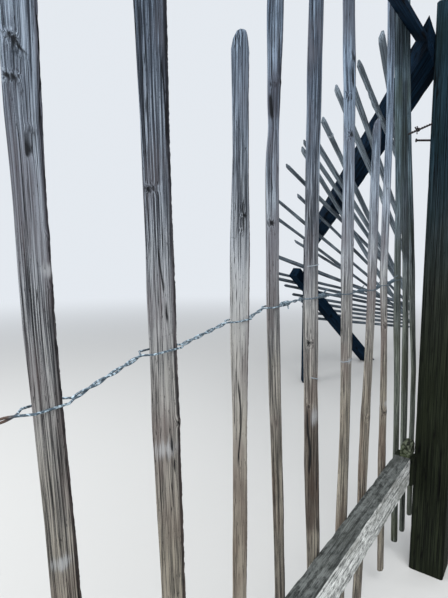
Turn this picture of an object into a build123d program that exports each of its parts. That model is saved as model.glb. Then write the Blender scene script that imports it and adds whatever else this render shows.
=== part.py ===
import math
import os

from build123d import *

os.makedirs("parts", exist_ok=True)

# Sizes in millimetres. The origin is the middle of the corner post's foot, on the ground.
# The standing bay runs back from it along -X, the pales hang on the +Y side, +Z is up.

POST = 126.0
POST_TOP = 2150.0
POST_EDGE = 6.0
BAY = 2310.0

# The rails are nailed to the pale side of the posts, the pales to the far side of the rails.
RAIL_DEEP = 61.0
RAIL_OVERHANG = 45.0
RAIL_EDGE = 4.0
SEAT = POST / 2 + RAIL_DEEP
BOTTOM_RAIL_TOP = 486.0
BOTTOM_RAIL_TALL = 112.0
TOP_RAIL_UNDER = POST_TOP - 127
TOP_RAIL_TALL = 38.0
TOP_RAIL_FRONT_DROP = 45.0
TOP_RAIL_FRONT_TALL = 25.0

# Packing block between the end of the bottom rail and the corner post.
STUB_WIDE = 52.0
STUB_DEEP = 72.0
STUB_EDGE = 5.0

# Short mossy log that lies on the rail's end, beside the corner post.
LOG_START = -122.0
LOG_END = -52.0
LOG_WIDE = 40.0
LOG_TALL = 52.0
LOG_ROUND = 18.0
LOG_TAPER = 12.0

# Room left between the riven face of a pale and the timber it is nailed to.
FIT = 0.3

# The fallen wing: its top rail slopes down and away from the corner post.
SLOPE_TURN = 34.7
SLOPE_FALL = 14.6
SLOPE_SIDE = 100.0
SLOPE_LONG = 2684.0
SLOPE_START = Vector(-44.0, 82.0, POST_TOP - 164)
SLOPE_LEAD = 300.0

# Prop under the rail's far end, and the post that has come down against it.
PROP_SIDE = 100.0
PROP_INSET = 72.0
PROP_PALE_PLACE = 0.809
FALLEN_SIDE = 95.0
FALLEN_LONG = 1648.0
FALLEN_TURN = 165.0
FALLEN_RISE = 40.0
FALLEN_BACK = 1192.0
FALLEN_LEAD = 200.0

# Twisted pair of fence wires: one strand passes before each pale and one behind it.
STRAND = 1.6
STRAND_GAP = 0.4
WIRE_FLATS = 8
WRAP_NOSE = 14.0

# Slipped pales are narrower where they lie across the fallen post.
SLIPPED_WIDE = 34.0
LYING_WIDE = 29.0
SLIPPED_THICK = 21.0

# How much a pale's width and thickness wander along it, as shares.
WIDE_SWING = 0.09
THICK_SWING = 0.12

# Blocks that only cut others reach past everything.
CUT = 2 * POST_TOP


def unit(vector):
    return vector * (1.0 / vector.length)


def aim(turn, rise):
    """Unit vector at a turn from +X about +Z and a rise from level, in degrees."""
    flat = math.cos(math.radians(rise))
    return Vector(
        flat * math.cos(math.radians(turn)),
        flat * math.sin(math.radians(turn)),
        math.sin(math.radians(rise)),
    )


UP = Vector(0, 0, 1)
ALONG = Vector(1, 0, 0)
OUT = Vector(0, 1, 0)
AWAY = aim(SLOPE_TURN, 0)
LEFT = UP.cross(AWAY)
DOWN_RAIL = aim(SLOPE_TURN, -SLOPE_FALL)
RAIL_OVER = DOWN_RAIL.cross(LEFT)


def save(shape, node):
    shape.label = node
    export_step(shape, "parts/" + node + ".step")


def block(x0, x1, y0, y1, z0, z1):
    box = Box(x1 - x0, y1 - y0, z1 - z0)
    return box.moved(Location(((x0 + x1) / 2, (y0 + y1) / 2, (z0 + z1) / 2)))


def beam(start, along, across, side_across, side_other, length):
    """A straight timber whose end face is centred on start."""
    plane = Plane(origin=start, x_dir=across, z_dir=along)
    timber = Box(side_across, side_other, length)
    return plane.location * Location((0, 0, length / 2)) * timber


def reach(normal, axis_a, axis_b, side):
    """How far a square timber sticks out from its own middle line towards normal."""
    return side / 2 * (abs(normal.dot(axis_a)) + abs(normal.dot(axis_b)))


def riven_section(middle, across, outward, wide, thick, roll):
    """Outline of a split pale: flat riven face, two bevels and the rounded bark side."""
    corners = (
        (-0.5, 0.0),
        (0.5, 0.0),
        (0.47, 0.5 + roll),
        (0.2, 1.0),
        (-0.24, 0.94),
        (-0.49, 0.5 - roll),
    )
    points = []
    for a, b in corners:
        points.append(middle + across * (wide * a) + outward * (thick * b))
    return Wire.make_polygon(points, close=True)


def cleft_pale(path, across, outward, wide, thick, grain):
    """A split pale lofted up its path, each section a little different from the last."""
    sections = []
    last = len(path) - 1
    for i, middle in enumerate(path):
        w = wide * (1 + WIDE_SWING * math.sin(1.9 * grain + 2.3 * i))
        t = thick * (1 + THICK_SWING * math.sin(2.7 * grain + 1.7 * i))
        roll = 0.1 * math.sin(1.3 * grain + 2.9 * i)
        if i == 0:
            w = 0.86 * w
        sections.append(riven_section(middle, across, outward, w, t, roll))
        if i == last:
            run = unit(path[last] - path[last - 1])
            for rise, share in ((0.45, 0.86), (0.75, 0.6), (0.86, 0.34)):
                tip = middle + run * (wide * rise)
                sections.append(riven_section(tip, across, outward, w * share, t * share, roll))
    return Solid.make_loft(sections, ruled=True)


def place_at(marks, z):
    """Place along the bay of a pale's middle line at height z."""
    for (z0, x0), (z1, x1) in zip(marks, marks[1:]):
        if z <= z1 + 0.01:
            return BAY * (x0 + (x1 - x0) * (z - z0) / (z1 - z0))
    return BAY * marks[-1][1]


def upright_path(marks, levels):
    """Middle line of a standing pale through its measured (height, place) marks."""
    path = []
    for k in range(levels + 1):
        z = marks[0][0] + (marks[-1][0] - marks[0][0]) * k / levels
        path.append(Vector(place_at(marks, z), SEAT + FIT, z))
    return path


# Posts
post_plan = Rectangle(POST, POST)
post = extrude(post_plan, POST_TOP)
post = chamfer(post.edges().filter_by(Axis.Z), POST_EDGE)
post = chamfer(post.faces().sort_by(Axis.Z)[-1].edges(), POST_EDGE)
save(post, "corner_post")
save(post.moved(Location((-BAY, 0, 0))), "near_post")

# Bottom rail, from past the near post to the packing block
rail_start = -BAY - POST / 2 - RAIL_OVERHANG
stub_left = -POST / 2 - STUB_WIDE
rail_under = BOTTOM_RAIL_TOP - BOTTOM_RAIL_TALL
bottom_rail = block(rail_start, stub_left, POST / 2, SEAT, rail_under, BOTTOM_RAIL_TOP)
bottom_rail = chamfer(bottom_rail.edges().filter_by(Axis.X), RAIL_EDGE)
save(bottom_rail, "bottom_rail")

stub = block(stub_left, -POST / 2, SEAT - STUB_DEEP, SEAT, rail_under, BOTTOM_RAIL_TOP)
stub = chamfer(stub.edges().filter_by(Axis.Z), STUB_EDGE)
save(stub, "stub_post")

# Mossy log: a rounded slab whose outer end is taken down at a slant
log_back = POST / 2 + LOG_WIDE
log_top = BOTTOM_RAIL_TOP + LOG_TALL
log = block(LOG_START, LOG_END, POST / 2, log_back, BOTTOM_RAIL_TOP, log_top)
log = fillet(log.faces().sort_by(Axis.Z)[-1].edges().filter_by(Axis.X), LOG_ROUND)
slant = Polyline(
    (LOG_START, POST / 2, BOTTOM_RAIL_TOP),
    (LOG_START + LOG_TAPER, POST / 2, log_top),
    (LOG_START - LOG_TAPER, POST / 2, log_top),
    close=True,
)
log = log - extrude(make_face(slant), LOG_WIDE, dir=(0, 1, 0))
save(log, "rail_stub")

# Sloping rail of the fallen wing, its near end cut flat against the corner post
sloping_rail = beam(
    SLOPE_START - DOWN_RAIL * SLOPE_LEAD,
    DOWN_RAIL,
    LEFT,
    SLOPE_SIDE,
    SLOPE_SIDE,
    SLOPE_LONG + SLOPE_LEAD,
)
sloping_rail = sloping_rail - block(-CUT, CUT, POST / 2 - CUT, POST / 2, 0, CUT)
save(sloping_rail, "sloping_rail")

# Top rail: a cleft rail of skewed section, its end cut against the sloping rail
top_outline = Polyline(
    (rail_start, SEAT, TOP_RAIL_UNDER),
    (rail_start, SEAT, TOP_RAIL_UNDER + TOP_RAIL_TALL),
    (rail_start, POST / 2, TOP_RAIL_UNDER - TOP_RAIL_FRONT_DROP + TOP_RAIL_FRONT_TALL),
    (rail_start, POST / 2, TOP_RAIL_UNDER - TOP_RAIL_FRONT_DROP),
    close=True,
)
top_rail = extrude(make_face(top_outline), -rail_start - POST / 2, dir=(1, 0, 0))
slope_shadow = beam(
    SLOPE_START - AWAY * SLOPE_LEAD,
    AWAY,
    LEFT,
    SLOPE_SIDE,
    CUT,
    CUT,
)
top_rail = (top_rail - slope_shadow).solids().sort_by(Axis.X)[0]
save(top_rail, "top_rail")

# Prop under the far end of the sloping rail
prop_top = SLOPE_START + DOWN_RAIL * (SLOPE_LONG - PROP_INSET)
prop_middle = Vector(prop_top.X, prop_top.Y, 0)
prop = beam(prop_middle, UP, AWAY, PROP_SIDE, PROP_SIDE, prop_top.Z)
prop = (prop - sloping_rail).solids().sort_by(Axis.Z)[0]
save(prop, "wing_prop")

# Fallen post, leaning against the far side of the prop
lean = aim(FALLEN_TURN, FALLEN_RISE)
apart = unit(lean.cross(UP))
fallen_over = lean.cross(apart)
clear = reach(apart, apart, fallen_over, FALLEN_SIDE) + reach(apart, AWAY, LEFT, PROP_SIDE) + FIT
fallen_foot = prop_middle - aim(FALLEN_TURN, 0) * FALLEN_BACK + apart * clear
fallen = beam(
    fallen_foot - lean * FALLEN_LEAD,
    lean,
    apart,
    FALLEN_SIDE,
    FALLEN_SIDE,
    FALLEN_LONG + FALLEN_LEAD,
)
fallen = fallen - block(-CUT, CUT, -CUT, CUT, -CUT, 0)
save(fallen, "fallen_post")

# Standing pales of the near bay: width, thickness, then marks of height and place,
# each place as a share of the bay
near_pales = (
    (38, 22, ((40, -0.911), (1100, -0.919), (2130, -0.931))),
    (31, 20, ((70, -0.833), (900, -0.845), (2090, -0.855))),
    (42, 24, ((35, -0.754), (1300, -0.770), (2160, -0.771))),
    (34, 22, ((40, -0.660), (850, -0.677), (1290, -0.688), (2120, -0.691))),
    (48, 25, ((30, -0.584), (720, -0.593), (1140, -0.600), (1620, -0.607), (2180, -0.610))),
    (37, 21, ((55, -0.510), (1000, -0.5125), (1625, -0.5135))),
    (31, 20, ((45, -0.433), (480, -0.439), (960, -0.454), (1380, -0.465), (2140, -0.457))),
    (37, 24, ((40, -0.353), (440, -0.3575), (780, -0.369), (1160, -0.381), (2150, -0.382))),
    (41, 24, ((60, -0.2725), (850, -0.2725), (1420, -0.282), (1770, -0.2935), (2170, -0.3125))),
    (41, 22, ((35, -0.2035), (460, -0.1955), (1250, -0.186), (1435, -0.190), (1640, -0.192))),
    (32, 21, ((50, -0.089), (820, -0.114), (1245, -0.138), (1545, -0.134), (2130, -0.150))),
    (30, 21, ((60, -0.005), (440, -0.024), (770, -0.037), (1245, -0.066), (2170, -0.116))),
    (34, 22, ((45, 0.045), (745, 0.016), (1240, -0.016), (1800, -0.0715), (2190, -0.098))),
    (30, 20, ((60, 0.097), (710, 0.079), (1240, 0.024), (1815, -0.051), (2150, -0.078))),
)
for number, (wide, thick, marks) in enumerate(near_pales, start=1):
    pale = cleft_pale(upright_path(marks, 9), ALONG, OUT, wide, thick, number)
    save(pale, "near_pale_%02d" % number)

# Wire pair: height at each pale that it binds, from the near end on
wire_heights = (1116, 1108, 1104, 1105, 1136, 1155, 1167, 1169, 1160, 1155, 1161, 1170)
line_y = SEAT + FIT + SLIPPED_THICK / 2


def strand_path(side):
    """Corners of one strand: side -1 passes before each pale, side 1 behind it."""
    twist_y = line_y + side * (STRAND + STRAND_GAP / 2)
    near_y = POST / 2 + FIT + (2 + side) * (STRAND + STRAND_GAP)
    path = [Vector(-BAY, near_y, wire_heights[0])]
    for (wide, thick, marks), height in zip(near_pales, wire_heights):
        middle = place_at(marks, height)
        half = wide * (1 + WIDE_SWING) / 2 + 2 * STRAND
        pass_y = SEAT - STRAND
        if side > 0:
            pass_y = SEAT + 2 * FIT + thick * (1 + THICK_SWING) + STRAND
        path.append(Vector(middle - half - WRAP_NOSE, twist_y, height))
        path.append(Vector(middle - half, pass_y, height))
        path.append(Vector(middle + half, pass_y, height))
        path.append(Vector(middle + half + WRAP_NOSE, twist_y, height))
    return path


def bent_wire(path):
    """A round wire lofted through mitred sections at each corner of its path."""
    sections = []
    for i, point in enumerate(path):
        before = unit(point - path[max(i, 1) - 1] if i else path[1] - point)
        after = unit(path[i + 1] - point if i < len(path) - 1 else point - path[i - 1])
        way = unit(before + after)
        level = unit(way.cross(UP))
        stretch = 1 / way.dot(after)
        corners = []
        for k in range(WIRE_FLATS):
            turn = math.tau * k / WIRE_FLATS
            across = level * (stretch * STRAND * math.cos(turn))
            corners.append(point + across + level.cross(way) * (STRAND * math.sin(turn)))
        sections.append(Wire.make_polygon(corners, close=True))
    return Solid.make_loft(sections, ruled=True)


strands = [bent_wire(strand_path(-1)), bent_wire(strand_path(1))]
save(Compound(children=strands), "wire_row")


def seated(axis_point, axis, side_a, side_b, side, run, toward):
    """Foot of a pale's riven face on a square timber, and the way that face looks."""
    outward = unit(run.cross(axis))
    if outward.dot(toward) < 0:
        outward = outward * -1
    off = reach(outward, side_a, side_b, side) + FIT
    return axis_point + outward * off, outward


def fan_run(turn, sweep):
    """Way to a slipped pale's tip: turned over to the left, its foot swept away."""
    over = LEFT * math.sin(math.radians(turn)) + UP * math.cos(math.radians(turn))
    return over * math.cos(math.radians(sweep)) - AWAY * math.sin(math.radians(sweep))


def slipped_pale(seat, run, above, long, wide, thick, outward, grain, bend):
    """A straight-split pale through its seat, with a slight bow in its width."""
    across = unit(run.cross(outward))
    path = []
    levels = 7
    for k in range(levels + 1):
        share = k / levels
        bow = bend * wide * math.sin(math.pi * share) * math.sin(2.1 * grain)
        path.append(seat + run * (above - long * (1 - share)) + across * bow)
    return cleft_pale(path, across, outward, wide, thick, grain)


# Slipped pales on the sloping rail: place as a share of its length, turn and sweep in
# degrees, length above the rail, whole length
rail_pales = (
    (0.0801, 18.4, 20, 205, 720),
    (0.1320, 38.8, 30, 257, 617),
    (0.1922, 33.2, 30, 260, 993),
    (0.2438, 35.7, 30, 335, 1161),
    (0.3467, 39.7, 36, 371, 1627),
    (0.4078, 44.5, 36, 390, 1612),
    (0.4525, 46.0, 36, 445, 1741),
    (0.4979, 43.0, 36, 447, 2051),
    (0.5587, 54.8, 36, 509, 1772),
    (0.6509, 53.9, 36, 335, 1860),
    (0.7645, 56.1, 33, 471, 2047),
    (0.8805, 57.7, 33, 452, 2160),
    (0.9438, 59.4, 0, 111, 531),
)
slipped = []
for place, turn, sweep, above, long in rail_pales:
    run = fan_run(turn, sweep)
    middle = SLOPE_START + DOWN_RAIL * (SLOPE_LONG * place)
    seat, outward = seated(middle, DOWN_RAIL, LEFT, RAIL_OVER, SLOPE_SIDE, run, LEFT)
    slipped.append((seat, outward, run, above, long, SLIPPED_WIDE, 0.2))

# One pale lies across the front of the prop
run = fan_run(70.1, 34.4)
middle = prop_middle + UP * (prop_top.Z * PROP_PALE_PLACE)
seat, outward = seated(middle, UP, AWAY, LEFT, PROP_SIDE, run, AWAY * -1)
slipped.append((seat, outward, run, 500, 2070, SLIPPED_WIDE, 0.1))

# The last ones have come down across the fallen post: place as a share of its length,
# turn, sweep, length past it, whole length
fallen_pales = (
    (0.9290, 75.7, 32.8, 253, 2060),
    (0.8665, 75.9, 32.7, 321, 2075),
    (0.8137, 76.0, 34.9, 278, 2040),
    (0.7360, 76.8, 37.0, 274, 2065),
    (0.6796, 76.9, 39.1, 226, 2050),
    (0.6171, 77.4, 39.4, 290, 2070),
    (0.5589, 77.7, 40.0, 335, 2045),
    (0.4988, 78.0, 40.5, 381, 2080),
)
for place, turn, sweep, above, long in fallen_pales:
    run = fan_run(turn, sweep)
    middle = fallen_foot + lean * (FALLEN_LONG * place)
    seat, outward = seated(middle, lean, apart, fallen_over, FALLEN_SIDE, run, AWAY)
    slipped.append((seat, outward, run, above, long, LYING_WIDE, 0.05))

for number, (seat, outward, run, above, long, broad, bend) in enumerate(slipped, start=1):
    wide = broad * (1 + 0.08 * math.sin(2.4 * number))
    thick = SLIPPED_THICK * (1 + 0.09 * math.sin(1.7 * number))
    pale = slipped_pale(seat, run, above, long, wide, thick, outward, number, bend)
    save(pale, "fan_pale_%02d" % number)
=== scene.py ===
import math

import bmesh
import bpy
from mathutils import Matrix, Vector, noise


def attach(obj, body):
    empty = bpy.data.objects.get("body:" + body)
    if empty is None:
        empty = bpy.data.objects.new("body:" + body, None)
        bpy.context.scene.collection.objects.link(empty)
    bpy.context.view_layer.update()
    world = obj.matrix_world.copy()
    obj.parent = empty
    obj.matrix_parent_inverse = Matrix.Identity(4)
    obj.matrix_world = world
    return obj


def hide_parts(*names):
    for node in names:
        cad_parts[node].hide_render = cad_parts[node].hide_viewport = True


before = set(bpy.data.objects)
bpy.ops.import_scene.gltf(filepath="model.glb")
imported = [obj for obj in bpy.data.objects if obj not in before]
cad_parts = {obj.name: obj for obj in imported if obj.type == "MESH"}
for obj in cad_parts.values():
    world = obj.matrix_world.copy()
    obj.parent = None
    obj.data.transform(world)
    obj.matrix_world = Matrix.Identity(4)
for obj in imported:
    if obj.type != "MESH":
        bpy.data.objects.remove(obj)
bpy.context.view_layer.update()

UP = Vector((0, 0, 1))

# Where the photograph was taken, in metres, degrees and the photo's own pixels: beside the
# near bay, at eye height, looking along it
CAMERA_SPOT = Vector((-1.863, -0.326, 1.287))
CAMERA_TURN = 36.1
CAMERA_TILT = -6.5
PHOTO_HEIGHT = 598
FOCAL_PIXELS = 449.0

# How finely the pales are modelled: corners around them, and metres from row to row
PALE_AROUND = 72
PALE_STEP = 0.009
FAN_AROUND = 32
FAN_STEP = 0.02
FEWEST_ROWS = 8

# The standing pales closest to the camera have finer rows
NEAREST = (4, 5, 6)
NEAREST_STEP = 0.004

# The standing pales from this one on are in the shade of the corner post
CLUMP_START = 12

# The slipped pales before this one hang higher and are lighter by this much: painted light, for
# the light that falls more on them than on the lower ones
LYING_START = 9
HANGING_PAINTED_LIGHT = 0.03

# Keeps the unevenness of the slipped pales apart from that of the standing ones
FAN_SEED = 20


def bell(offset):
    """1 in the middle, falling smoothly to both sides."""
    return math.exp(-(offset ** 2))


def limited(share):
    return max(0.0, min(1.0, share))


# Shader maths

class Value:
    """A socket of a node tree, usable in plain arithmetic."""

    def __init__(self, nodes, socket):
        self.nodes = nodes
        self.socket = socket

    def math(self, operation, first, second=0.0):
        settings = {"operation": operation}
        return self.nodes.node("ShaderNodeMath", settings, {0: first, 1: second})

    def __add__(self, other):
        return self.math("ADD", self, other)

    __radd__ = __add__

    def __sub__(self, other):
        return self.math("SUBTRACT", self, other)

    def __rsub__(self, other):
        return self.math("SUBTRACT", other, self)

    def __mul__(self, other):
        return self.math("MULTIPLY", self, other)

    __rmul__ = __mul__

    def larger(self, other):
        return self.math("MAXIMUM", self, other)

    def __abs__(self):
        return self.math("ABSOLUTE", self)

    def ramp(self, low, high):
        """0 below low, 1 above high and a smooth step between."""
        settings = {"interpolation_type": "SMOOTHSTEP"}
        values = {"Value": self, "From Min": low, "From Max": high}
        return self.nodes.node("ShaderNodeMapRange", settings, values)


class Nodes:
    """A node tree and the one way to add a node to it."""

    def __init__(self, tree):
        self.tree = tree

    def node(self, kind, settings, values, output=0):
        made = self.tree.nodes.new(kind)
        for key, setting in settings.items():
            setattr(made, key, setting)
        for key, value in values.items():
            self.fill(made.inputs[key], value)
        return Value(self, made.outputs[output])

    def fill(self, socket, value):
        """Links a value to a socket, or sets a constant on it."""
        if isinstance(value, Value):
            self.tree.links.new(value.socket, socket)
        else:
            socket.default_value = value

    def output_of(self, name):
        """What a node that the tree began with gives out."""
        return Value(self, self.tree.nodes[name].outputs[0])


class Finish(Nodes):
    """A material with a principled shader."""

    def __init__(self, name):
        self.material = bpy.data.materials.new(name)
        self.material.use_nodes = True
        super().__init__(self.material.node_tree)
        self.shader = self.tree.nodes["Principled BSDF"]

    def attribute(self, name, output):
        return self.node("ShaderNodeAttribute", {"attribute_name": name}, {}, output)

    def place(self):
        """Where a point is in the part's own frame, in metres."""
        return self.node("ShaderNodeTexCoord", {}, {}, "Object")

    def along_axis(self, place, axis):
        return self.node("ShaderNodeSeparateXYZ", {}, {0: place}, axis)

    def noise(self, place, scale, detail, rough=0.5):
        values = {"Vector": place, "Scale": scale, "Detail": detail, "Roughness": rough}
        return self.node("ShaderNodeTexNoise", {}, values, "Fac")

    def stretched(self, place, size):
        return self.node("ShaderNodeMapping", {}, {"Vector": place, "Scale": size})

    def blend(self, share, first, second, way="MIX"):
        settings = {"data_type": "RGBA", "blend_type": way}
        values = {0: share, 6: first, 7: second}
        return self.node("ShaderNodeMix", settings, values, 2)

    def set(self, name, value):
        self.fill(self.shader.inputs[name], value)

    def bump(self, height, distance, strength):
        values = {"Height": height, "Distance": distance, "Strength": strength}
        self.set("Normal", self.node("ShaderNodeBump", {}, values))


def paint(red, green, blue):
    """A colour as it looks on a screen, from 0 to 255, as the shader wants it."""
    parts = []
    for part in (red, green, blue):
        share = part / 255
        parts.append(share / 12.92 if share < 0.04045 else ((share + 0.055) / 1.055) ** 2.4)
    return (*parts, 1.0)


# The layers of noise in old wood: stretch along the grain, scale, detail and roughness
HAIRS = (0.009, 640, 3, 0.7)
STRANDS = (0.012, 290, 2, 0.5)
CRACKS = (0.012, 230, 2, 0.5)
BANDS = (0.06, 80, 2, 0.5)
SPECKS = (0.16, 420, 2, 0.5)
GRIT = (0.45, 1500, 2, 0.7)
PATCHES = (0.35, 16, 3, 0.5)
LICHEN = (0.36, 92, 5, 0.75)

# From where to where a layer brings a change, and the heights between which foot and crown do
LIGHT_TONES = (0.465, 0.565)
DARK_TONES = (0.425, 0.485)
TINTED_PATCHES = (0.44, 0.66)
DEEP_SPECKS = (0.27, 0.35)
CRACK_WIDTH = (0.003, 0.02)
CRACKED_BANDS = (0.36, 0.54)
OPEN_SPLITS = (0.15, 0.75)
WORN_AND_SHADED_FIBRES = (0.3, 0.75)
SCARRED_FIBRES = (0.4, 1.0)
FOOT_HEIGHT = (0.75, 1.4)
CROWN_HEIGHT = (1.05, 1.7)

# How deep the grain of old wood is in metres, and what a crack adds to it
GRAIN_DEPTH = 0.0035
CRACK_SHARE = 0.35


def weathered_wood(
    name,
    dark,
    middle,
    light,
    tint,
    fibre=1.0,
    foot=None,
    crown=None,
    mottle=0.0,
    gloss=0.15,
    shade=(0.32, 0.29, 0.30, 1.0),
):
    """Old bare wood: fine fibres along the piece, open checks and slow changes of tone.

    The attribute check marks knots, dark in their own right, and splits, grooves and cracks,
    whose darkness is painted shade in their hollows. The attribute for wear and painted shade
    marks the surface that is darker from wear, and from painted shade such as the corner post's
    shadow on the bottom rail; scar marks the pale rings where a shoot once grew, and tone makes a
    whole stretch lighter or darker, with painted light on the higher slipped pales. The colours
    foot, crown and shade are what is left of the light at the foot, at the crown and where the
    wood is darker from wear and painted shade. A larger fibre makes the fibres finer, and mottle
    is the share of the tone that lichen takes over.
    """
    finish = Finish(name)
    grain = finish.attribute("grain", "Vector")

    def layer(kind, fineness=fibre):
        stretch, scale, detail, rough = kind
        place = finish.stretched(grain, (1, 1, stretch))
        return finish.noise(place, scale * fineness, detail, rough)

    hairs = layer(HAIRS)
    bands = layer(BANDS)
    patches = layer(PATCHES, 1)
    crack_line = abs(layer(CRACKS) - 0.5)
    cracks = (1 - crack_line.ramp(*CRACK_WIDTH)) * bands.ramp(*CRACKED_BANDS)
    tone = hairs * 0.44 + layer(STRANDS) * 0.32 + bands * 0.14 + layer(GRIT) * 0.10
    tone = tone + finish.attribute("tone", "Fac")
    if mottle > 0:
        tone = tone * (1 - mottle) + layer(LICHEN, 1) * mottle
    wood = finish.blend(tone.ramp(*LIGHT_TONES), middle, light)
    wood = finish.blend((1 - tone.ramp(*DARK_TONES)) * 0.9, wood, dark)
    wood = finish.blend(patches.ramp(*TINTED_PATCHES) * 0.6, wood, tint)
    if foot is not None and crown is not None:
        drift = finish.along_axis(finish.place(), "Z") + (patches - 0.5) * 0.4
        wood = finish.blend(1 - drift.ramp(*FOOT_HEIGHT), wood, foot, "MULTIPLY")
        wood = finish.blend(drift.ramp(*CROWN_HEIGHT), wood, crown, "MULTIPLY")
    # Painted shade, with wear: darker where the wood shows wear, and where painted shade is
    # given, such as the corner post's shadow on the bottom rail
    wear_and_painted_shade = (finish.attribute("wear_and_painted_shade", "Fac") + (hairs - 0.5) * 1.2).ramp(*WORN_AND_SHADED_FIBRES)
    wood = finish.blend(wear_and_painted_shade, wood, shade, "MULTIPLY")
    scar = (finish.attribute("scar", "Fac") + (hairs - 0.5) * 2.4).ramp(*SCARRED_FIBRES)
    wood = finish.blend(scar * 0.6, wood, light)
    deep = tuple(part * 0.3 for part in dark[:3]) + (1.0,)
    wood = finish.blend((1 - layer(SPECKS).ramp(*DEEP_SPECKS)) * 0.7, wood, deep)
    # Cracks and splits drawn towards deep: painted shade in their hollows; knots in the same
    # attribute are dark wood
    wood = finish.blend(cracks * 0.85, wood, deep)
    split = finish.attribute("check", "Fac").ramp(*OPEN_SPLITS)
    wood = finish.blend(split * 0.92, wood, deep)
    finish.set("Base Color", wood)
    finish.set("Roughness", 0.9)
    finish.set("Specular IOR Level", gloss)
    finish.bump(tone - cracks * CRACK_SHARE, GRAIN_DEPTH, 0.9)
    return finish.material


STANDING_WOOD = weathered_wood(
    "silver_grey_pale",
    paint(46, 48, 52),
    paint(106, 109, 114),
    paint(192, 195, 198),
    paint(120, 109, 107),
    fibre=1.35,
    foot=(0.70, 0.61, 0.48, 1.0),
    crown=(0.64, 0.80, 1.0, 1.0),
)
CLUMP_WOOD = weathered_wood(
    "shaded_grey_pale",
    paint(30, 34, 36),
    paint(70, 78, 82),
    paint(132, 140, 144),
    paint(72, 76, 66),
    fibre=1.2,
    foot=(0.80, 0.78, 0.62, 1.0),
    crown=(0.70, 0.88, 1.0, 1.0),
)
SLIPPED_WOOD = weathered_wood(
    "slipped_grey_pale",
    paint(24, 30, 40),
    paint(60, 70, 80),
    paint(130, 142, 152),
    paint(50, 56, 62),
)
POST_WOOD = weathered_wood(
    "dark_post_timber",
    paint(10, 12, 12),
    paint(28, 32, 31),
    paint(54, 58, 55),
    paint(32, 36, 30),
    fibre=0.8,
    foot=(0.50, 0.55, 0.34, 1.0),
    crown=(0.45, 0.95, 1.5, 1.0),
    gloss=0.1,
)
RAIL_WOOD = weathered_wood(
    "checked_rail_timber",
    paint(88, 91, 90),
    paint(172, 174, 171),
    paint(230, 232, 229),
    paint(138, 140, 134),
    fibre=0.6,
    mottle=0.55,
    shade=(0.16, 0.17, 0.17, 1.0),
)
SHADED_WOOD = weathered_wood(
    "shaded_timber",
    paint(2, 8, 16),
    paint(5, 22, 38),
    paint(16, 40, 60),
    paint(8, 22, 36),
    fibre=0.7,
    gloss=0.04,
)
MOSSY_WOOD = weathered_wood(
    "mossy_log_timber",
    paint(16, 19, 12),
    paint(42, 46, 36),
    paint(94, 100, 84),
    paint(46, 56, 30),
    mottle=0.8,
)


# Reading a pale's form from the frame

# A whole section of a frame's pale has at least this many corners, and lies at least this far
# from the next one. A tip that rises further than TIP_GAP above the last one is added to them.
SECTION_CORNERS = 6
SECTION_GAP = 0.0006
TIP_GAP = 0.002
SAME_CORNER = 1e-5


def merged_copy(node):
    """A bmesh of a frame node with its doubled corners joined."""
    shape = bmesh.new()
    shape.from_mesh(node.data)
    bmesh.ops.remove_doubles(shape, verts=shape.verts, dist=SAME_CORNER)
    return shape


def facing(face):
    """A face's direction, rounded so that faces in one plane agree."""
    return tuple(round(part, 2) for part in face.normal)


def pale_frame(shape):
    """Across, outward and along directions of a split pale, from its riven face and its foot."""
    areas = {}
    for face in shape.faces:
        key = facing(face)
        areas[key] = areas.get(key, 0.0) + face.calc_area()
    riven_way = max(areas, key=areas.get)
    riven = [f for f in shape.faces if facing(f) == riven_way]
    outward = -max(riven, key=lambda f: f.calc_area()).normal.normalized()
    low = min(shape.verts, key=lambda v: v.co.z).co
    far = max(shape.verts, key=lambda v: (v.co - low).length).co
    rough_way = (far - low).normalized()

    def foot_rank(face):
        return face.normal.dot(rough_way) + 0.2 * (face.calc_center_median() - low).length

    along = -min(shape.faces, key=foot_rank).normal.normalized()
    return outward.cross(along).normalized(), outward, along


def pale_rings(shape, across, outward, along):
    """Rise, middle, width, base and thickness of each section, sorted up the pale."""
    rings = []
    for vert in sorted(shape.verts, key=lambda v: v.co.dot(along)):
        rise = vert.co.dot(along)
        if not rings or rise - rings[-1][-1].dot(along) > SECTION_GAP:
            rings.append([])
        rings[-1].append(vert.co.copy())
    sections = []
    for ring in rings:
        if len(ring) < SECTION_CORNERS:
            continue
        a = [p.dot(across) for p in ring]
        b = [p.dot(outward) for p in ring]
        rise = sum(p.dot(along) for p in ring) / len(ring)
        sections.append((rise, (min(a) + max(a)) / 2, max(a) - min(a), min(b), max(b) - min(b)))
    top = max(v.co.dot(along) for v in shape.verts)
    if top - sections[-1][0] > TIP_GAP:
        sections.append((top, *sections[-1][1:]))
    return sections


def between(sections, rise):
    """The section at a rise, worked out from the ones below and above it."""
    if rise <= sections[0][0]:
        return sections[0][1:]
    for low, high in zip(sections, sections[1:]):
        if rise <= high[0]:
            share = (rise - low[0]) / max(high[0] - low[0], 1e-6)
            return tuple(p + (q - p) * share for p, q in zip(low[1:], high[1:]))
    return sections[-1][1:]


# A split pale's section: the powers that make its sides and its flat face square and its back
# round, how far the flat face reaches, and how much the back tapers
SIDE_POWER = 0.55
FACE_POWER = 0.35
FACE_REACH = 1.04
BACK_POWER = 0.8
BACK_TAPER = 0.28

# The shares of width and thickness by which an arris is cut back where no mark says more
PLAIN_ARRIS = (0.22, 0.4)


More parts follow.
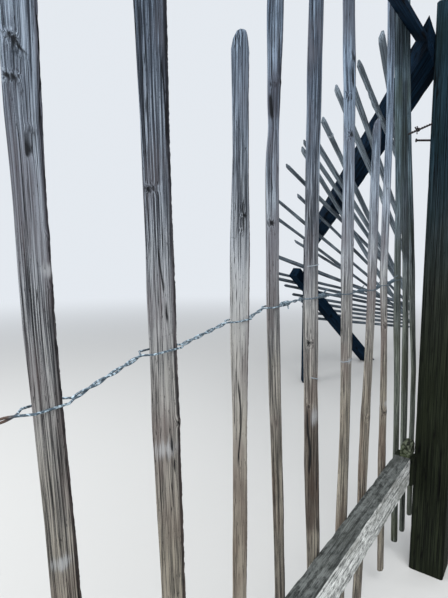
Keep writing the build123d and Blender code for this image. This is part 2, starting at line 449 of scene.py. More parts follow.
def riven_outline(turn, lean, arris):
    """A point of the split section: across from -0.5 to 0.5, outward from the flat face 0 to 1.

    The arris between the flat face and the near side is cut back by the two shares in arris.
    """
    side = math.cos(turn)
    back = math.sin(turn)
    a = 0.5 * math.copysign(abs(side) ** SIDE_POWER, side)
    if back < 0:
        b = 0.5 - 0.5 * min(1.0, abs(back) ** FACE_POWER * FACE_REACH)
    else:
        b = 0.5 + 0.5 * (abs(back) ** BACK_POWER)
        a = a * (1 - BACK_TAPER * abs(back)) + lean * back
    short = 1 - (a + 0.5) / arris[0] - b / arris[1]
    if short > 0:
        a += short * arris[0] / 2
        b += short * arris[1] / 2
    return a, b


# The long grooves of a pale: their count, and the depth from which one is wholly dark with
# painted shade in its hollow
GROOVE_COUNT = 6
DARK_GROOVE = 0.0022


class Grooves:
    """Long shallow splits that wander along a pale and come and go."""

    def __init__(self, seed):
        self.seed = seed
        self.lines = []
        for k in range(GROOVE_COUNT):
            spot = Vector((seed * 3.7, k * 5.3, 1.5))
            home = math.tau * (k + 0.7 * noise.noise(spot)) / GROOVE_COUNT
            half = 0.06 + 0.03 * noise.noise(spot * 2)
            deep = 0.0013 + 0.001 * noise.noise(spot * 3)
            self.lines.append((home, deep, half, k * 7.1))

    def depth(self, turn, rise):
        total = 0.0
        for home, deep, half, phase in self.lines:
            wander = home + 0.3 * math.sin(rise * 2.1 + phase)
            off = (turn - wander + math.pi) % math.tau - math.pi
            live = max(0.0, noise.noise(Vector((phase, self.seed, rise * 3.0))) + 0.22)
            total += deep * min(live * 2.5, 1.0) * bell(off / half)
        return total


# What shows on the standing pales: knots as height, place across the face and radius;
# splits as lowest and highest point, place across and half width; swells as height, half
# length and the shares that width and thickness gain; scars as height, half length and place
# across; tone as the change above and below the wire; arris as the shares of width and
# thickness by which the near arris is cut back; dark as the heights between which the wood is
# darker; ragged as how torn the far edge is. A place across runs from -0.5 to 0.5 on the flat
# face.
STANDING_MARKS = {
    4: {
        "knots": (
            (1.500, -0.34, 0.003),
            (1.496, -0.25, 0.003),
            (1.489, -0.16, 0.003),
            (1.482, -0.06, 0.003),
            (1.461, -0.42, 0.003),
            (1.460, -0.33, 0.003),
            (1.459, -0.24, 0.003),
            (1.411, -0.05, 0.002),
            (1.411, 0.02, 0.002),
            (1.30, 0.42, 0.004),
            (1.24, 0.45, 0.004),
        ),
        "splits": (
            (1.378, 1.412, -0.09, 0.0011),
            (1.382, 1.412, 0.04, 0.0011),
            (1.40, 1.55, 0.38, 0.0014),
        ),
        "swells": ((1.54, 0.12, 0.22, 0.1), (0.9, 0.2, 0.1, 0.0)),
        "scars": ((0.911, 0.012, -0.15), (1.262, 0.012, 0.4)),
        "tone": (0.006, 0.0),
        "arris": (0.3, 0.5),
        "ragged": 1.2,
    },
    5: {
        "knots": ((1.368, -0.30, 0.004), (1.370, -0.18, 0.0045), (1.02, 0.3, 0.005)),
        "splits": (
            (1.42, 1.56, 0.24, 0.0014),
            (1.16, 1.3, -0.02, 0.0012),
            (0.9, 1.05, 0.1, 0.0012),
        ),
        "swells": ((1.62, 0.26, 0.2, 0.12), (1.02, 0.05, 0.08, 0.0)),
        "scars": ((0.980, 0.020, -0.1),),
        "tone": (-0.045, 0.026),
        "arris": (0.62, 0.75),
        "ragged": 1.7,
    },
    6: {
        "knots": ((1.345, 0.0, 0.004), (1.318, -0.05, 0.0035), (1.46, 0.1, 0.0035)),
        "splits": (
            (1.30, 1.40, 0.04, 0.0018),
            (1.34, 1.37, -0.05, 0.0022),
            (0.86, 1.06, -0.2, 0.0014),
        ),
        "swells": ((1.26, 0.2, 0.3, 0.12), (0.45, 0.25, -0.12, 0.0)),
        "tone": (-0.014, 0.078),
        "arris": (0.4, 0.6),
        "ragged": 1.0,
    },
    7: {
        "knots": (
            (1.336, -0.3, 0.005),
            (1.44, 0.2, 0.004),
            (1.601, -0.3, 0.004),
            (1.603, -0.02, 0.004),
            (1.607, 0.26, 0.004),
        ),
        "splits": (
            (1.53, 1.585, -0.42, 0.003),
            (1.60, 1.72, 0.1, 0.0016),
            (1.46, 1.52, 0.1, 0.002),
        ),
        "swells": (
            (1.519, 0.035, -0.24, -0.1),
            (1.24, 0.06, -0.08, 0.0),
            (1.72, 0.09, 0.42, 0.1),
        ),
        "arris": (0.35, 0.6),
        "dark": (1.50, 1.66),
        "ragged": 1.0,
    },
    8: {
        "knots": ((1.06, -0.42, 0.006), (0.90, -0.45, 0.004)),
        "splits": (
            (0.70, 0.915, -0.44, 0.0022),
            (0.42, 0.80, 0.12, 0.0018),
            (0.44, 0.70, 0.32, 0.0016),
            (1.38, 1.66, 0.1, 0.0014),
        ),
        "swells": (
            (1.08, 0.16, 0.2, 0.12),
            (0.6, 0.34, 0.26, 0.1),
            (0.945, 0.03, -0.1, 0.0),
        ),
        "scars": ((0.872, 0.034, -0.02),),
        "tone": (-0.035, 0.0),
        "arris": (0.3, 0.5),
        "dark": (0.52, 0.92),
    },
    9: {
        "knots": (
            (1.774, 0.1, 0.008),
            (1.679, -0.3, 0.006),
            (1.584, -0.2, 0.007),
            (1.30, 0.2, 0.005),
        ),
        "splits": (
            (1.64, 1.76, 0.15, 0.002),
            (1.70, 1.80, -0.05, 0.002),
            (1.0, 1.14, 0.2, 0.0015),
        ),
        "swells": ((1.76, 0.10, 0.26, 0.05),),
        "scars": ((0.965, 0.012, 0.0),),
        "tone": (0.006, 0.008),
        "arris": (0.3, 0.5),
        "ragged": 0.9,
    },
    10: {
        "knots": ((0.736, 0.0, 0.008), (1.05, 0.2, 0.004)),
        "splits": ((1.36, 1.5, 0.0, 0.0015), (0.9, 1.0, 0.1, 0.0015)),
        "swells": ((0.80, 0.05, -0.12, 0.0), (0.66, 0.05, -0.10, 0.0)),
        "arris": (0.3, 0.5),
        "ragged": 0.9,
    },
    11: {
        "knots": ((0.697, 0.0, 0.009), (1.02, -0.1, 0.008)),
        "splits": ((1.04, 1.12, -0.1, 0.0026), (1.26, 1.44, 0.1, 0.002)),
        "swells": (
            (0.98, 0.05, -0.22, 0.0),
            (0.76, 0.05, -0.18, 0.0),
            (0.64, 0.06, -0.15, 0.0),
        ),
        "scars": ((0.73, 0.016, 0.0),),
        "arris": (0.3, 0.5),
        "ragged": 1.2,
    },
    12: {
        "splits": ((1.2, 1.5, 0.1, 0.0018), (1.6, 1.8, -0.1, 0.002)),
        "dark": (1.85, 2.2),
        "ragged": 1.0,
    },
    13: {
        "splits": ((1.55, 1.8, -0.2, 0.002), (0.7, 1.2, 0.1, 0.0018)),
        "dark": (1.2, 1.9),
    },
    14: {
        "splits": ((1.0, 1.5, 0.1, 0.0018), (0.6, 0.95, -0.1, 0.0018)),
        "ragged": 1.0,
    },
}

# A knot bulges out, has a sunk heart and a dark rim, and bends the fibres round it. Its reach
# is in its own radii and the depths are in metres.
KNOT_REACH = 4
KNOT_SQUASH = 0.9
KNOT_BULGE = 0.0022
KNOT_DEPTH = 0.0032
SPLIT_DEPTH = 0.003

# How far past its ends a split is still worked out, and how far from the flat face towards
# the back, as a share of the thickness, marks can lie
SPLIT_MARGIN = 0.02
FACE_END = 0.62


def marked(marks, rise, a, b, wide):
    """Darkness and depth of a split or knot at a spot, and how far it bends the fibres. A knot's
    darkness is its own; a split's is painted shade in its hollow.
    """
    dark = 0.0
    dent = 0.0
    bend = 0.0
    if b > FACE_END:
        return dark, dent, bend
    for height, place, radius in marks.get("knots", ()):
        dx = (a - place) * wide / radius
        dz = (rise - height) / (KNOT_SQUASH * radius)
        far = math.hypot(dx, dz)
        if far < KNOT_REACH:
            bulge = math.exp(-(far ** 2) / 2.2)
            heart = 1.1 * bell(far / 0.6)
            rim = 0.6 * bell((far - 1.2) / 0.22)
            dark = max(dark, heart, rim)
            dent += KNOT_DEPTH * bell(far / 0.55) - KNOT_BULGE * bulge
            bend += math.copysign(radius * 0.9, dx) * bulge
    for low, high, place, half in marks.get("splits", ()):
        if low - SPLIT_MARGIN < rise < high + SPLIT_MARGIN:
            share = (rise - low) / (high - low)
            ease = limited(share * 5) * limited((1 - share) * 5)
            home = place + 0.07 * math.sin(rise * 31 + low * 40)
            opening = ease * bell((a - home) * wide / half)
            dark = max(dark, opening)
            dent += SPLIT_DEPTH * opening
    return dark, dent, bend


def plain_tube(around, rows):
    """A closed upright tube with a radius of 1, from -0.5 to 0.5, cut into rows."""
    tube = bmesh.new()
    bmesh.ops.create_cone(
        tube,
        cap_ends=True,
        cap_tris=False,
        segments=around,
        radius1=1.0,
        radius2=1.0,
        depth=1.0,
    )
    long_edges = [e for e in tube.edges if abs(e.verts[0].co.z - e.verts[1].co.z) > 0.5]
    bmesh.ops.subdivide_edges(tube, edges=long_edges, cuts=rows - 1, use_grid_fill=False)
    bmesh.ops.poke(tube, faces=[f for f in tube.faces if len(f.verts) > 4])
    return tube


# How ragged the far edge of a pale is where no mark says, from where across the face that edge
# is counted, and how high a lump has to stand there to be torn off
PLAIN_RAGGED = 0.35
EDGE_START = 0.2
EDGE_WIDTH = 0.3
TORN_LUMP = 0.06

# How much a groove narrows a pale by, for each metre of its depth
GROOVE_PUSH = 60

# From the wire's height on, the tone below it turns into the tone above over this length
WIRE_HEIGHT = 1.15
TONE_CHANGE = 0.25

# Over this length the darker wood ends, above and below
DARK_FADE = 0.05

# How far the back of a pale leans to one side and the other, as a share of its width
BACK_LEAN = 0.12


def carved_pale(name, node, around, step, seed, finish, marks):
    """A pale with grooves, splits and knots, made round the frame's own sections."""
    shape = merged_copy(node)
    across, outward, along = pale_frame(shape)
    sections = pale_rings(shape, across, outward, along)
    shape.free()
    low = sections[0][0]
    high = sections[-1][0]
    pale = plain_tube(around, max(FEWEST_ROWS, int((high - low) / step)))
    grain = pale.verts.layers.float_vector.new("grain")
    check = pale.verts.layers.float.new("check")
    wear_and_painted_shade = pale.verts.layers.float.new("wear_and_painted_shade")
    scar = pale.verts.layers.float.new("scar")
    tone = pale.verts.layers.float.new("tone")
    grooves = Grooves(seed)
    arris = marks.get("arris", PLAIN_ARRIS)
    ragged = marks.get("ragged", PLAIN_RAGGED)
    upper_tone, lower_tone = marks.get("tone", (0.0, 0.0))
    near_side = -1 if across.x < 0 else 1
    for vert in pale.verts:
        rise = low + (high - low) * (vert.co.z + 0.5)
        middle, wide, base, thick = between(sections, rise)
        height = (across * middle + outward * base + along * rise).z

        # Where the corner is on the section, drawn in on the two ends
        reach = math.hypot(vert.co.x, vert.co.y)
        turn = math.atan2(vert.co.y, vert.co.x)
        place, b = riven_outline(turn, BACK_LEAN * math.sin(seed + rise * 2), arris)
        a = place * reach
        b = 0.5 + (b - 0.5) * reach

        # How uneven the wood is there
        ring_spot = Vector((math.cos(turn), math.sin(turn), 0))
        rough = noise.noise(ring_spot * 1.5 + Vector((0, seed * 7, rise * 9)))
        lumps = noise.noise(ring_spot * 7 + Vector((seed * 5, 0, rise * 48)))
        fine = noise.noise(ring_spot * 9 + Vector((0, seed * 3, rise * 6)))
        dark, dent, bend = marked(marks, height, place, b, wide)
        groove = grooves.depth(turn, rise)
        far_edge = max(0.0, (place - EDGE_START) / EDGE_WIDTH)
        torn = far_edge ** 2 * ragged
        thick_push = 1 + 0.05 * rough + 0.03 * fine - groove * GROOVE_PUSH
        side_push = thick_push - torn * abs(lumps) * 0.24
        for spot, half, broader, thicker in marks.get("swells", ()):
            swell = bell((height - spot) / half)
            side_push += broader * swell
            if b > 0.5:
                thick_push += 2 * thicker * swell
        x = middle + near_side * wide * a * side_push
        y = base + thick * 0.5 + (b - 0.5) * 2 * (thick * 0.5 * thick_push - dent)
        vert.co = across * x + outward * y + along * rise

        # What the finish reads
        vert[grain] = Vector((wide * a + bend + seed * 3.1, thick * b + seed * 1.7, rise))
        rip = torn * max(0.0, lumps - TORN_LUMP) * 3.4
        # Knots are dark wood; splits and grooves are darkened with their depth, as painted shade
        # in their hollows
        vert[check] = min(1.0, max(dark, groove / DARK_GROOVE, rip))
        vert[wear_and_painted_shade] = 0.85 * ragged * min(1.0, 1.5 * far_edge)
        if "dark" in marks:
            floor, roof = marks["dark"]
            vert[wear_and_painted_shade] += 0.55 * limited(min(height - floor, roof - height) / DARK_FADE)
        for spot, half, aside in marks.get("scars", ()):
            off = math.hypot((height - spot) / half, (place - aside) / 0.45)
            vert[scar] = max(vert[scar], bell(off))
        share = limited((height - WIRE_HEIGHT) / TONE_CHANGE)
        vert[tone] = lower_tone + (upper_tone - lower_tone) * share
    bmesh.ops.recalc_face_normals(pale, faces=pale.faces)
    for face in pale.faces:
        face.smooth = True
    finished(name, pale, finish, node.name)


def placed(name, data, nodes):
    """Puts a piece in the scene under the root body, and hides the frame's nodes that it
    replaces.
    """
    piece = bpy.data.objects.new(name, data)
    bpy.context.scene.collection.objects.link(piece)
    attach(piece, "root")
    if nodes:
        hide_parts(*nodes)


def finished(name, shape, finish, *nodes):
    """Turns a bmesh into a piece that stands for the frame's nodes."""
    mesh = bpy.data.meshes.new(name)
    shape.to_mesh(mesh)
    shape.free()
    mesh.materials.append(finish)
    placed(name, mesh, nodes)


for node_name in sorted(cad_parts):
    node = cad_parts[node_name]
    if node_name.startswith("near_pale"):
        number = int(node_name[-2:])
        name = "standing_pale_%02d" % number
        wood = CLUMP_WOOD if number >= CLUMP_START else STANDING_WOOD
        step = NEAREST_STEP if number in NEAREST else PALE_STEP
        marks = STANDING_MARKS.get(number, {})
        carved_pale(name, node, PALE_AROUND, step, number, wood, marks)
    elif node_name.startswith("fan_pale"):
        number = int(node_name[-2:])
        name = "slipped_pale_%02d" % number
        # Painted light: the higher slipped pales are made lighter
        tone = HANGING_PAINTED_LIGHT if number < LYING_START else 0.0
        seed = FAN_SEED + number
        carved_pale(name, node, FAN_AROUND, FAN_STEP, seed, SLIPPED_WOOD, {"tone": (tone, tone)})


# Timbers

# How far a chipped arris reaches into the faces. Along X, from the place that the table gives,
# a timber darkens with painted shade for the corner post's shadow, over the reach below, until
# it is darker by the share below.
CHIP_REACH = 0.006
PAINTED_SHADOW_REACH = 0.45
PAINTED_SHADOW_SHARE = 0.42
NOWHERE = 100.0

# The largest angle, in radians, between two faces that still count as one plane
FLAT_ANGLE = 0.01


def long_way(shape):
    """The long direction of a straight timber."""
    longest = max(shape.edges, key=lambda e: e.calc_length())
    return (longest.verts[1].co - longest.verts[0].co).normalized()


def cut_finely(shape, direction, pitch):
    """Cuts a shape into slices across a direction."""
    reaches = [v.co.dot(direction) for v in shape.verts]
    low = min(reaches)
    for k in range(1, int((max(reaches) - low) / pitch)):
        bmesh.ops.bisect_plane(
            shape,
            geom=shape.verts[:] + shape.edges[:] + shape.faces[:],
            dist=1e-6,
            plane_co=direction * (low + k * pitch),
            plane_no=direction,
        )


def weathered_timber(name, node, step, stretch, wear, finish, top_dark, painted_shadow_from):
    """A sawn timber: the node's own form, cut finely, its faces weathered back along the grain.

    top_dark darkens what faces up, and from the place given last on along X it all darkens with
    painted shade, for the shadow of the corner post.
    """
    shape = merged_copy(node)
    bmesh.ops.dissolve_limit(shape, angle_limit=FLAT_ANGLE, verts=shape.verts, edges=shape.edges)
    along = long_way(shape)
    upright = abs(along.z) > 0.9
    across = along.orthogonal().normalized() if upright else along.cross(UP).normalized()
    other = along.cross(across).normalized()
    grain = shape.verts.layers.float_vector.new("grain")
    check = shape.verts.layers.float.new("check")
    wear_and_painted_shade = shape.verts.layers.float.new("wear_and_painted_shade")
    for direction, pitch in ((along, step * stretch), (across, step), (other, step)):
        cut_finely(shape, direction, pitch)
    shape.normal_update()
    reaches = [[v.co.dot(direction) for v in shape.verts] for direction in (across, other)]
    (a_low, a_high), (b_low, b_high) = [(min(reach), max(reach)) for reach in reaches]
    moves = []
    for vert in shape.verts:
        a = vert.co.dot(across)
        b = vert.co.dot(other)
        c = vert.co.dot(along)
        inset = max(min(a - a_low, a_high - a), min(b - b_low, b_high - b))
        chips = noise.noise(Vector((a * 8, b * 8, c * 17)) + Vector((0, 0, 4)))
        chipped = bell(inset / CHIP_REACH) * limited(3.2 * chips - 0.3)
        furrow = noise.noise(Vector((a * 95, b * 95, c * 2.2)))
        hollow = noise.noise(Vector((a * 16, b * 16, c * 3.0)) + Vector((9, 0, 0)))
        loss = wear * (0.55 + 0.6 * furrow + 0.5 * hollow)
        slanted = c * 5.0 + a * 9.0 + b * 9.0
        sharp = abs(noise.noise(Vector((a * 55, b * 55, slanted)) + Vector((0, 7, 0))))
        crack = max(0.0, 1 - sharp / 0.06) * limited(4 * hollow + 0.4)
        moves.append((vert, vert.normal * -(max(0.0, loss) + wear * 1.2 * (crack + chipped))))
        vert[grain] = Vector((a, b, c))
        # Cracks and chips on the arris are darkened: painted shade in their hollows
        vert[check] = max(crack * 0.9, chipped)
        # Painted shade: towards the corner post the timber darkens, for the post's shadow on it
        painted_post_shadow = limited((vert.co.x - painted_shadow_from) / PAINTED_SHADOW_REACH) * PAINTED_SHADOW_SHARE
        vert[wear_and_painted_shade] = top_dark * max(0.0, vert.normal.z) + painted_post_shadow
    for vert, move in moves:
        vert.co += move
    finished(name, shape, finish, node.name)


# Node, size of the mesh across and its ratio along, depth of wear, finish, darkness of the
# top, and the place along X from which it darkens with painted shade for the corner post's shadow
TIMBERS = (
    ("corner_post", 0.009, 4, 0.0012, POST_WOOD, 0.0, NOWHERE),
    ("near_post", 0.012, 4, 0.0012, POST_WOOD, 0.0, NOWHERE),
    ("bottom_rail", 0.006, 2, 0.0026, RAIL_WOOD, 1.3, -0.95),
    ("top_rail", 0.012, 3, 0.0018, SHADED_WOOD, 0.0, NOWHERE),
    ("stub_post", 0.012, 1, 0.0012, POST_WOOD, 0.0, NOWHERE),
    ("rail_stub", 0.005, 1, 0.003, MOSSY_WOOD, 0.0, NOWHERE),
    ("sloping_rail", 0.014, 3, 0.0018, SHADED_WOOD, 0.0, NOWHERE),
    ("wing_prop", 0.016, 3, 0.0015, SHADED_WOOD, 0.0, NOWHERE),
    ("fallen_post", 0.016, 3, 0.0018, SHADED_WOOD, 0.0, NOWHERE),
)
for node_name, *form in TIMBERS:
    weathered_timber("old_" + node_name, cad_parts[node_name], *form)


# Wires

# Between these places along X the painted glints on the wire fade towards the corner post, where
# it is darker
PAINTED_GLINT_FADE = (-1.15, -0.75)

# Values for rust_before at which no wire is rusty, and at which all of it is
NO_RUST = -5.0
ALL_RUST = 5.0


def galvanised_steel(name, painted_glint_colour, dull, rust, rust_before):
    """Dull zinc with painted glints that fade towards the corner post, and rust that takes over
    from the place rust_before on towards lower X.
    """
    finish = Finish(name)
    place = finish.place()
    speck = finish.noise(place, 260, 3)
    cloud = finish.noise(place, 24, 3)
    run = finish.along_axis(place, "X")
    # Painted highlights: glinting specks on the zinc, fewer towards the corner post
    painted_glint = speck.ramp(0.46, 0.66) * (1 - run.ramp(*PAINTED_GLINT_FADE) * 0.85)
    border = (run + (cloud - 0.5) * 0.1).ramp(rust_before - 0.03, rust_before + 0.02)
    spots = cloud.ramp(0.62, 0.72) * 0.35
    cover = ((1 - border) * 0.9 + spots).ramp(0.2, 0.8)
    finish.set("Base Color", finish.blend(cover, finish.blend(painted_glint, dull, painted_glint_colour), rust))
    finish.set("Metallic", (1 - cover) * 0.3)
    finish.set("Roughness", 0.5 + cover * 0.4)
    finish.bump(speck, 0.0006, 0.5)
    return finish.material


WIRE_STEEL = galvanised_steel(
    "dull_galvanised_wire",
    paint(180, 200, 212),
    paint(66, 82, 94),
    paint(84, 68, 60),
    -1.615,
)
TIE_STEEL = galvanised_steel(
    "tie_wire_steel",
    paint(182, 190, 196),
    paint(140, 150, 158),
    paint(84, 68, 60),
    NO_RUST,
)
RUSTY_STEEL = galvanised_steel(
    "rusty_steel",
    paint(30, 34, 42),
    paint(18, 22, 30),
    paint(34, 28, 30),
    ALL_RUST,
)

# Radii of the wires
STRAND_RADIUS = 0.0016
TAIL_RADIUS = 0.0013
TIE_RADIUS = 0.0012

# Corners of the frame's strands that are further apart than this along X lie in two rings
RING_GAP = 0.006

# The strands of the pair: how far each lies from the middle, the length of a turn, the points
# that one is drawn with, and the gap from which two strands count as parted round a pale
TWIST_REACH = 0.0019
TWIST_PITCH = 0.05
TWIST_STEPS = 16
PARTED = 0.006

# The frame's strands begin with a point at the near post and then have this many at each pale.
# They run free from the last of these to the next pale.
CLASP_POINTS = 4


def strand_middles(node):
    """Centre line of each strand, from the rings of corners of the frame's wire."""
    shape = merged_copy(node)
    left = set(shape.verts)
    lines = []
    while left:
        island = {left.pop()}
        edge_of = list(island)
        while edge_of:
            for edge in edge_of.pop().link_edges:
                for vert in edge.verts:
                    if vert in left:
                        left.discard(vert)
                        island.add(vert)
                        edge_of.append(vert)
        rings = []
        for vert in sorted(island, key=lambda v: v.co.x):
            if not rings or vert.co.x - rings[-1][-1].x > RING_GAP:
                rings.append([])
            rings[-1].append(vert.co.copy())
        lines.append([sum(ring, Vector()) / len(ring) for ring in rings])
    shape.free()
    return sorted(lines, key=lambda line: line[2].y)


def tube_data(name, radius, finish):
    data = bpy.data.curves.new(name, "CURVE")
    data.dimensions = "3D"
    data.bevel_depth = radius
    data.bevel_resolution = 2
    data.use_fill_caps = True
    data.materials.append(finish)
    return data


def add_run(data, points):
    spline = data.splines.new("POLY")
    spline.points.add(len(points) - 1)
    for slot, point in zip(spline.points, points):
        slot.co = (*point, 1.0)


def twisted_pair(front, back):
    """The two strands: apart where they clasp a pale, turned round each other between."""
    paths = ([], [])
    for k in range(len(front) - 1):
        if k % CLASP_POINTS != 0:
            paths[0].append(front[k])
            paths[1].append(back[k])
            continue
        start = (front[k] + back[k]) / 2
        end = (front[k + 1] + back[k + 1]) / 2
        turns = max(1, round((end - start).length / TWIST_PITCH))
        steps = turns * TWIST_STEPS
        gap = abs(front[k].y - back[k].y)
        half = gap / 2 if gap > PARTED else 0.0
        for n in range(steps):
            share = n / steps
            turn = math.tau * turns * share
            middle = start.lerp(end, share)
            reach = max(TWIST_REACH, half * (1 - share) ** 12)
            for side, path in ((-1, paths[0]), (1, paths[1])):
                offset = Vector((0, side * reach * math.cos(turn), side * reach * math.sin(turn)))
                path.append(middle + offset)
    paths[0].append(front[-1])
    paths[1].append(back[-1])
    return paths


wire_front, wire_back = strand_middles(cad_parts["wire_row"])
pair = tube_data("twisted_fence_wire", STRAND_RADIUS, WIRE_STEEL)
for path in twisted_pair(wire_front, wire_back):
    add_run(pair, path)
placed("twisted_fence_wire", pair, ["wire_row"])


def wire_spot(x):
    """Middle of the twisted pair at a place along the bay."""
    for k in range(len(wire_front) - 1):
        if wire_front[k].x <= x <= wire_front[k + 1].x:
            share = (x - wire_front[k].x) / (wire_front[k + 1].x - wire_front[k].x)
            front_point = wire_front[k].lerp(wire_front[k + 1], share)
            back_point = wire_back[k].lerp(wire_back[k + 1], share)
            return (front_point + back_point) / 2
    return wire_front[-1].copy()


# Tail wires wound tightly on the pair: start, end, turns, coil radius, loose end
WINDINGS = (
    (-0.868, -0.812, 9, 0.0046, Vector((0.026, -0.012, 0.016))),
    (-0.835, -0.792, 6, 0.0044, Vector((-0.02, -0.014, 0.014))),
    (-0.552, -0.512, 6, 0.0046, Vector((-0.014, -0.012, 0.018))),
    (-0.432, -0.352, 9, 0.0050, Vector((-0.016, -0.012, 0.016))),
    (-0.262, -0.188, 9, 0.0050, Vector((0.02, -0.014, 0.018))),
    (-1.02, -0.992, 5, 0.0044, Vector((-0.01, -0.010, -0.012))),
)
WINDING_STEPS = 10
WINDING_BOW = Vector((0, 0, 0.004))

tails = tube_data("wound_wire_tails", TAIL_RADIUS, WIRE_STEEL)
for start, end, turns, radius, loose in WINDINGS:
    run = []
    steps = turns * WINDING_STEPS
    for n in range(steps + 1):
        share = n / steps
        turn = math.tau * turns * share
        spot = wire_spot(start + (end - start) * share)
        run.append(spot + Vector((0, radius * math.cos(turn), radius * math.sin(turn))))
    run.extend((run[-1] + loose * 0.5 + WINDING_BOW, run[-1] + loose))
    add_run(tails, run)
placed("wound_wire_tails", tails, ())

# A tie wire: the rise of a turn where there are more than one, and the points of a turn
TIE_PITCH = 0.005
TIE_STEPS = 32

# The curl that ends a tie of several turns: its points, turns and reach
CURL_STEPS = 18
CURL_TURNS = 1.6
CURL_REACH = 0.006


def ringed_pale(data, node_name, height, tilt, turns=1, arris=PLAIN_ARRIS):
    """A tie wire drawn tight round a pale, once or in a few turns that end in a curl."""
    shape = merged_copy(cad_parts[node_name])
    across, outward, along = pale_frame(shape)
    sections = pale_rings(shape, across, outward, along)
    shape.free()
    rise = height
    for _ in range(3):
        middle, wide, base, thick = between(sections, rise)
        rise += height - (across * middle + outward * base + along * rise).z
    near_side = -1 if across.x < 0 else 1
    run = []
    for n in range(TIE_STEPS * turns + 1):
        turn = math.tau * n / TIE_STEPS
        a, b = riven_outline(turn, 0.0, arris)
        x = middle + near_side * (wide * a * 1.06)
        y = base + thick * 0.5 + thick * (b - 0.5) * 1.08
        lift = 0.0 if turns == 1 else TIE_PITCH * turn / math.tau
        run.append(across * x + outward * y + along * (rise + tilt * a + lift))
    if turns > 1:
        end = run[-1]
        for n in range(1, CURL_STEPS + 1):
            turn = CURL_TURNS * math.tau * n / CURL_STEPS
            sideways = across * (near_side * (0.004 * n / 3 + CURL_REACH * math.sin(turn)))
            up = along * CURL_REACH * (1 - math.cos(turn))
            run.append(end + sideways - outward * 0.0015 * n + up)
    add_run(data, run)


ties = tube_data("pale_tie_wires", TIE_RADIUS, TIE_STEEL)
ringed_pale(ties, "near_pale_08", 1.246, 0.004, arris=STANDING_MARKS[8]["arris"])
ringed_pale(ties, "near_pale_08", 0.969, -0.012, arris=STANDING_MARKS[8]["arris"])
ringed_pale(ties, "near_pale_09", 0.966, 0.003, arris=STANDING_MARKS[9]["arris"])
ringed_pale(ties, "fan_pale_05", 1.842, 0.004, turns=3)
placed("pale_tie_wires", ties, ())


# The nail and the stub of barbed wire that are left on the corner post

# Name, radius and ends of the nail's two pieces
NAIL = (
    ("post_nail_shank", 0.0038, (-0.052, 0.058, 1.676), (-0.052, 0.112, 1.683)),
    ("post_nail_head", 0.0068, (-0.052, 0.1105, 1.6828), (-0.052, 0.1140, 1.6832)),
)
for name, radius, start, end in NAIL:
    bar = tube_data(name, radius, RUSTY_STEEL)
    add_run(bar, (start, end))
    placed(name, bar, ())

# The stub's ends, the radius of its strands, their reach from its middle, their turns and
# points; then the place of the barb along it, and the reach, length and points of its coils
BARBED_START = Vector((-0.055, 0.056, 1.735))
BARBED_END = Vector((-0.150, 0.115, 1.687))
BARBED_RADIUS = 0.0022
BARBED_REACH = 0.0021
BARBED_TURNS = 5
BARBED_STEPS = 60
BARB_PLACE = 0.6
BARB_REACH = 0.0046
BARB_LENGTH = 0.0022
BARB_STEPS = 24

way = (BARBED_END - BARBED_START).normalized()
aside = way.cross(UP).normalized()
above = aside.cross(way)


def off_the_stub(turn, reach):
    return aside * (reach * math.cos(turn)) + above * (reach * math.sin(turn))


barbed = tube_data("barbed_wire_stub", BARBED_RADIUS, RUSTY_STEEL)
for phase in (0.0, math.pi):
    run = []
    for n in range(BARBED_STEPS + 1):
        share = n / BARBED_STEPS
        turn = math.tau * BARBED_TURNS * share + phase
        run.append(BARBED_START.lerp(BARBED_END, share) + off_the_stub(turn, BARBED_REACH))
    add_run(barbed, run)
barb_spot = BARBED_START.lerp(BARBED_END, BARB_PLACE)
for lift, lean in ((1, 0.6), (-1, 0.5), (1, -0.5)):
    coil = []
    for n in range(BARB_STEPS + 1):
        share = n / BARB_STEPS
        spot = barb_spot + way * (0.003 * lean + BARB_LENGTH * share)
        coil.append(spot + off_the_stub(math.tau * share, BARB_REACH))
    coil.append(coil[-1] + above * (0.013 * lift) + aside * (0.006 * lean))
    add_run(barbed, coil)
placed("barbed_wire_stub", barbed, ())


# Stage

BACKDROP = (0.78, 0.82, 0.87, 1.0)
SKY_LIGHT = (0.90, 0.94, 1.0, 1)
SKY_STRENGTH = 0.75
FLOOR_REACH = 120.0

# How far from the part's origin the floor fades into the backdrop
FLOOR_FADE = (3.5, 11.0)


def fading_floor_paint():
    """Pale floor that takes on the backdrop's colour far from the object, so no edge shows."""
    finish = Finish("floor_paint")
    finish.set("Base Color", paint(190, 190, 188))
    finish.set("Roughness", 0.95)
    settings = {"operation": "LENGTH"}
    far = finish.node("ShaderNodeVectorMath", settings, {0: finish.place()}, "Value")
    seen = finish.node("ShaderNodeLightPath", {}, {}, "Is Camera Ray")
    glow = finish.node("ShaderNodeEmission", {}, {"Color": BACKDROP, "Strength": 1.0})
    share = far.ramp(*FLOOR_FADE) * seen
    floor = finish.output_of("Principled BSDF")
    mix = finish.node("ShaderNodeMixShader", {}, {0: share, 1: floor, 2: glow})
    finish.fill(finish.tree.nodes["Material Output"].inputs[0], mix)
    return finish.material


def studio_floor():
    shape = bmesh.new()
    bmesh.ops.create_circle(shape, cap_ends=True, segments=96, radius=FLOOR_REACH)
    mesh = bpy.data.meshes.new("studio_floor")
    shape.to_mesh(mesh)
    shape.free()
    mesh.materials.append(fading_floor_paint())
    floor = bpy.data.objects.new("studio_floor", mesh)
    bpy.context.scene.collection.objects.link(floor)


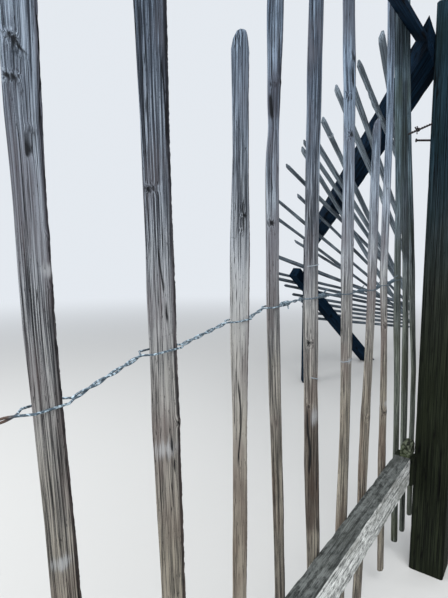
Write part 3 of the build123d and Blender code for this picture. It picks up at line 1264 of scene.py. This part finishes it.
def studio_world():
    """Soft light from all sides, and a plain pale backdrop for the rays that look at it."""
    world = bpy.data.worlds.new("studio_world")
    world.use_nodes = True
    bpy.context.scene.world = world
    sky = Nodes(world.node_tree)
    soft = world.node_tree.nodes["Background"]
    soft.inputs["Color"].default_value = SKY_LIGHT
    soft.inputs["Strength"].default_value = SKY_STRENGTH
    pale = sky.node("ShaderNodeBackground", {}, {"Color": BACKDROP})
    kinds = ("Is Camera Ray", "Is Glossy Ray", "Is Transmission Ray")
    camera, glossy, clear = (sky.node("ShaderNodeLightPath", {}, {}, kind) for kind in kinds)
    looking = camera.larger(glossy).larger(clear)
    values = {0: looking, 1: sky.output_of("Background"), 2: pale}
    mix = sky.node("ShaderNodeMixShader", {}, values)
    sky.fill(world.node_tree.nodes["World Output"].inputs[0], mix)


# Name, place, where it points, power and size
LAMPS = (
    ("sky_lamp", (-3.0, -1.5, 6.0), (0, 0.5, 0.8), 420, 5.0),
    ("left_lamp", (-3.5, 4.0, 3.0), (0, 0, 1.0), 160, 3.0),
)


def soft_lamp(name, spot, aim, power, size):
    data = bpy.data.lights.new(name, "AREA")
    data.energy = power
    data.size = size
    lamp = bpy.data.objects.new(name, data)
    lamp.location = spot
    lamp.rotation_euler = (Vector(aim) - Vector(spot)).to_track_quat("-Z", "Y").to_euler()
    bpy.context.scene.collection.objects.link(lamp)


def photo_camera():
    data = bpy.data.cameras.new("photo_camera")
    data.sensor_fit = "VERTICAL"
    data.sensor_height = 36.0
    data.lens = data.sensor_height * FOCAL_PIXELS / PHOTO_HEIGHT
    data.clip_start = 0.02
    camera = bpy.data.objects.new("photo_camera", data)
    turn = math.radians(CAMERA_TURN)
    tilt = math.radians(CAMERA_TILT)
    level = math.cos(tilt)
    aim = Vector((math.cos(turn) * level, math.sin(turn) * level, math.sin(tilt)))
    camera.location = CAMERA_SPOT
    camera.rotation_euler = aim.to_track_quat("-Z", "Y").to_euler()
    bpy.context.scene.collection.objects.link(camera)
    bpy.context.scene.camera = camera


studio_floor()
studio_world()
for lamp in LAMPS:
    soft_lamp(*lamp)
photo_camera()
bpy.context.scene.view_settings.view_transform = "Standard"
